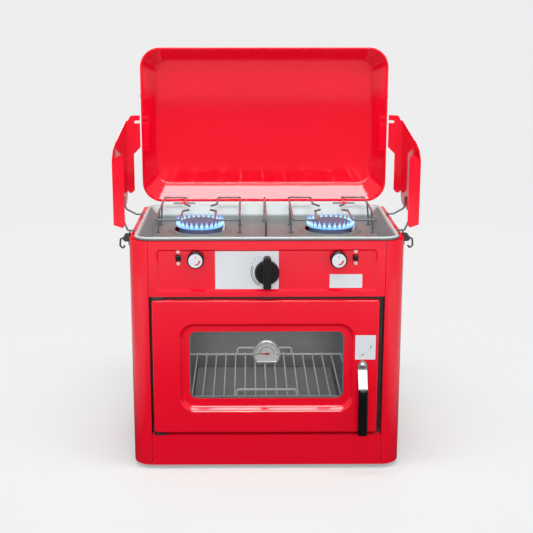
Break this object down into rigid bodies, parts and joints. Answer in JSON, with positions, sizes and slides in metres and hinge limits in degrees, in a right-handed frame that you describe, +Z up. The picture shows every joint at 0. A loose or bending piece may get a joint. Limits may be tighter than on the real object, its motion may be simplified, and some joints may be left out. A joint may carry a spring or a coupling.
{
  "type": "camp_stove_oven",
  "caption": "Portable red camp stove: oven with a windowed side-hinged door below, hob with burners in a steel tray above, lift-up lid and folding wind guards.",
  "frame": {"origin": "centre of the bounding box's bottom face, on the plane the feet stand on", "axes": "+X to the user's right, +Y to the back, +Z up"},
  "size_m": [0.508, 0.3774, 0.6885],
  "materials": {
    "red_paint": "glossy bright red enamel",
    "galvanised_sheet": "dull grey sheet, darkened by heat",
    "dark_frame": "satin black paint",
    "stainless": "bright pressed stainless steel",
    "bright_wire": "plated wire",
    "dark_wire": "dark plated wire",
    "burner_metal": "plain cast and drawn aluminium",
    "brass_fittings": "machined brass",
    "black_plastic": "moulded black, faint sheen",
    "grip_plastic": "moulded black, smooth",
    "foot_rubber": "matt black rubber",
    "seal_cloth": "grey woven seal",
    "window_glass": "clear flat glass",
    "gauge_metal": "pale dial in a plain metal case",
    "needle_red": "red pointer",
    "ceramic": "glazed white ceramic, stands for porcelain"
  },
  "bodies": {
    "cabinet": {"side_panel_left": "red_paint", "side_panel_right": "red_paint", "back_panel": "red_paint", "base_pan": "galvanised_sheet", "feet": "foot_rubber", "control_panel": "red_paint", "lower_front_panel": "red_paint", "front_frame": "dark_frame", "door_seal": "seal_cloth", "oven_floor": "galvanised_sheet", "oven_roof": "galvanised_sheet", "oven_side_walls": "galvanised_sheet", "oven_back_wall": "galvanised_sheet", "rack_runners": "bright_wire", "flame_spreader": "galvanised_sheet", "oven_burner": "dark_frame", "gas_manifold": "burner_metal", "gas_inlet": "brass_fittings", "burner_valves": "brass_fittings", "oven_valve": "brass_fittings", "oven_gas_line": "burner_metal", "mixer_tubes": "burner_metal", "drip_tray": "stainless", "burner_heads": "burner_metal", "burner_caps": "burner_metal", "electrodes": "ceramic", "igniters": "black_plastic", "door_hinges": "dark_frame", "door_catch": "dark_frame", "lid_hinge_base": "bright_wire", "lid_hinge_pins": "bright_wire", "guard_eyelets": "red_paint", "latch_bases": "dark_frame"},
    "lid": {"lid_shell": "red_paint", "lid_hinge_leaf": "red_paint", "lid_catches": "red_paint"},
    "guard_left": {"wind_guard_left": "red_paint", "guard_rods_left": "bright_wire"},
    "guard_right": {"wind_guard_right": "red_paint", "guard_rods_right": "bright_wire"},
    "door": {"door_panel": "red_paint", "door_liner": "galvanised_sheet", "door_glass": "window_glass", "gauge_case": "gauge_metal", "gauge_lens": "window_glass"},
    "needle": {"gauge_needle": "needle_red"},
    "handle": {"door_handle": "stainless", "handle_grip": "grip_plastic", "latch_cam": "stainless"},
    "rack": {"oven_rack": "bright_wire"},
    "support_left": {"pot_support_left": "bright_wire"},
    "support_right": {"pot_support_right": "bright_wire"},
    "support_centre": {"pot_support_centre": "bright_wire"},
    "knob_left": {"knob_left": "black_plastic"},
    "knob_right": {"knob_right": "black_plastic"},
    "knob_oven": {"knob_oven": "black_plastic"},
    "button_left": {"igniter_button_left": "black_plastic"},
    "button_right": {"igniter_button_right": "black_plastic"},
    "hook_left": {"latch_hook_left": "dark_wire"},
    "hook_right": {"latch_hook_right": "dark_wire"}
  },
  "joints": [
    {"name": "lid_hinge", "type": "hinge", "parent": "cabinet", "child": "lid", "pos_m": [0, 0.13575, 0.398], "axis": [-1, 0, 0], "range_deg": [-90, 0]},
    {"name": "guard_left_fold", "type": "hinge", "parent": "cabinet", "child": "guard_left", "pos_m": [-0.2198, -0.01775, 0.398], "axis": [0, -1, 0], "range_deg": [-90, 0]},
    {"name": "guard_right_fold", "type": "hinge", "parent": "cabinet", "child": "guard_right", "pos_m": [0.2198, -0.01775, 0.398], "axis": [0, 1, 0], "range_deg": [-90, 0]},
    {"name": "door_hinge", "type": "hinge", "parent": "cabinet", "child": "door", "pos_m": [-0.182, -0.15375, 0.181], "axis": [0, 0, -1], "range_deg": [0, 110]},
    {"name": "handle_turn", "type": "hinge", "parent": "door", "child": "handle", "pos_m": [0.158, -0.15775, 0.186], "axis": [0, 1, 0], "range_deg": [0, 90]},
    {"name": "gauge_needle_turn", "type": "hinge", "parent": "door", "child": "needle", "pos_m": [0, -0.15475, 0.203], "axis": [0, 1, 0], "range_deg": [0, 180], "stiffness_Nm_per_rad": 0.002},
    {"name": "rack_slide", "type": "slide", "parent": "cabinet", "child": "rack", "axis": [0, -1, 0], "range_m": [-0.012, 0.008]},
    {"name": "support_left_lift", "type": "slide", "parent": "cabinet", "child": "support_left", "axis": [0, 0, 1], "range_m": [0, 0.03]},
    {"name": "support_right_lift", "type": "slide", "parent": "cabinet", "child": "support_right", "axis": [0, 0, 1], "range_m": [0, 0.03]},
    {"name": "support_centre_lift", "type": "slide", "parent": "cabinet", "child": "support_centre", "axis": [0, 0, 1], "range_m": [0, 0.03]},
    {"name": "knob_left_turn", "type": "hinge", "parent": "cabinet", "child": "knob_left", "pos_m": [-0.115, -0.15775, 0.366], "axis": [0, -1, 0], "range_deg": [0, 150]},
    {"name": "knob_right_turn", "type": "hinge", "parent": "cabinet", "child": "knob_right", "pos_m": [0.115, -0.15775, 0.366], "axis": [0, -1, 0], "range_deg": [0, 150]},
    {"name": "knob_oven_turn", "type": "hinge", "parent": "cabinet", "child": "knob_oven", "pos_m": [0, -0.15775, 0.343], "axis": [0, -1, 0], "range_deg": [0, 270]},
    {"name": "button_left_press", "type": "slide", "parent": "cabinet", "child": "button_left", "axis": [0, 1, 0], "range_m": [0, 0.0035], "stiffness_N_per_m": 400},
    {"name": "button_right_press", "type": "slide", "parent": "cabinet", "child": "button_right", "axis": [0, 1, 0], "range_m": [0, 0.0035], "stiffness_N_per_m": 400},
    {"name": "hook_left_swing", "type": "hinge", "parent": "cabinet", "child": "hook_left", "pos_m": [-0.2312, -0.11075, 0.391], "axis": [0, 1, 0], "range_deg": [0, 110]},
    {"name": "hook_right_swing", "type": "hinge", "parent": "cabinet", "child": "hook_right", "pos_m": [0.2312, -0.11075, 0.391], "axis": [0, -1, 0], "range_deg": [0, 110]}
  ]
}
